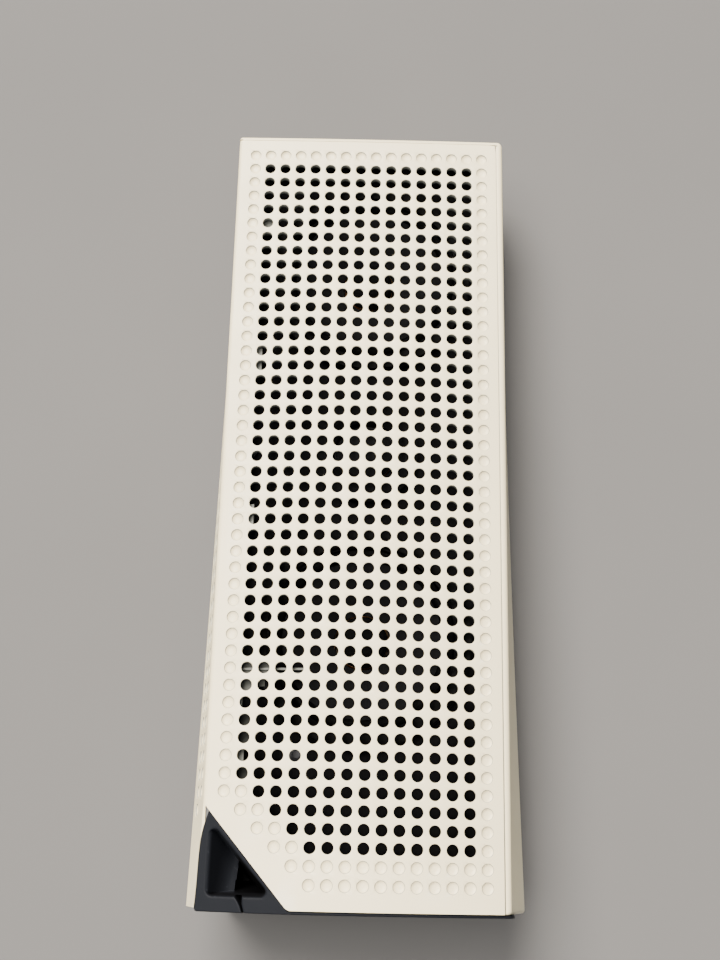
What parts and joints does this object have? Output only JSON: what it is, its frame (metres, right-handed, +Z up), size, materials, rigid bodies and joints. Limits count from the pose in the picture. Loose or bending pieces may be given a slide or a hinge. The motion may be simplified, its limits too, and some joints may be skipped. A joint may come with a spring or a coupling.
{
  "type": "small monitor loudspeaker",
  "caption": "Small wedge-backed monitor loudspeaker lying face up, with a perforated white front and a slanted corner pocket for its power lead.",
  "frame": {"origin": "on the floor under the middle of the outline seen from above", "axes": "+Z up; +Y along the length, towards the thin end; +X to the right when looking towards the thin end"},
  "size_m": [0.0984, 0.2478, 0.0522],
  "materials": {
    "shell_white": "moulded, soft satin, warm off-white",
    "body_grey": "moulded, fine matt texture, dark grey",
    "steel": "zinc plated sheet and screws",
    "basket_black": "black powder coat on pressed steel",
    "dome_silk": "black impregnated silk",
    "rubber": "soft black rubber",
    "cone_paper": "pressed black paper cone",
    "spider_cloth": "resin stiffened cloth",
    "copper": null,
    "ferrite": "sintered dark grey magnet",
    "black_plastic": "moulded black",
    "board_green": "circuit board with solder mask",
    "can_sleeve": "shrink sleeve, dark blue",
    "ceramic_white": "unglazed",
    "aluminium": "extruded",
    "felt": "grey wool felt"
  },
  "bodies": {
    "case": {"front_cover": "shell_white", "side_shell": "shell_white", "end_cap": "body_grey", "baffle": "black_plastic", "rear_tub": "body_grey", "base_plate": "body_grey", "woofer_1_basket": "basket_black", "woofer_1_surround": "rubber", "woofer_1_gasket": "rubber", "woofer_1_spider": "spider_cloth", "woofer_1_top_plate": "steel", "woofer_1_magnet": "ferrite", "woofer_1_yoke": "steel", "woofer_2_basket": "basket_black", "woofer_2_surround": "rubber", "woofer_2_gasket": "rubber", "woofer_2_spider": "spider_cloth", "woofer_2_top_plate": "steel", "woofer_2_magnet": "ferrite", "woofer_2_yoke": "steel", "tweeter_plate": "black_plastic", "tweeter_magnet": "ferrite", "crossover_board": "board_green", "crossover_capacitor_1": "can_sleeve", "crossover_capacitor_2": "can_sleeve", "crossover_resistor": "ceramic_white", "crossover_choke": "copper", "amplifier_board": "board_green", "heat_sink": "aluminium", "amplifier_capacitor": "can_sleeve", "power_jack": "black_plastic", "jack_pin": "steel", "baffle_screw_1": "steel", "baffle_screw_2": "steel", "baffle_screw_3": "steel", "baffle_screw_4": "steel", "baffle_screw_5": "steel", "baffle_screw_6": "steel", "base_screw_1": "steel", "foot_1": "rubber", "base_screw_2": "steel", "foot_2": "rubber", "base_screw_3": "steel", "foot_3": "rubber", "base_screw_4": "steel", "foot_4": "rubber", "damping_pad": "felt"},
    "woofer_1_moving": {"woofer_1_cone": "cone_paper", "woofer_1_dust_cap": "rubber", "woofer_1_voice_coil": "copper"},
    "woofer_2_moving": {"woofer_2_cone": "cone_paper", "woofer_2_dust_cap": "rubber", "woofer_2_voice_coil": "copper"},
    "tweeter_moving": {"tweeter_dome": "dome_silk", "tweeter_coil": "copper"}
  },
  "joints": [
    {"name": "woofer_1_stroke", "type": "slide", "parent": "case", "child": "woofer_1_moving", "axis": [0, 0.0736, 0.9973], "range_m": [-0.0015, 0.0015], "stiffness_N_per_m": 1500},
    {"name": "woofer_2_stroke", "type": "slide", "parent": "case", "child": "woofer_2_moving", "axis": [0, 0.0736, 0.9973], "range_m": [-0.0015, 0.0015], "stiffness_N_per_m": 1500},
    {"name": "tweeter_stroke", "type": "slide", "parent": "case", "child": "tweeter_moving", "axis": [0, 0.0736, 0.9973], "range_m": [-0.0004, 0.0004], "stiffness_N_per_m": 3000}
  ]
}
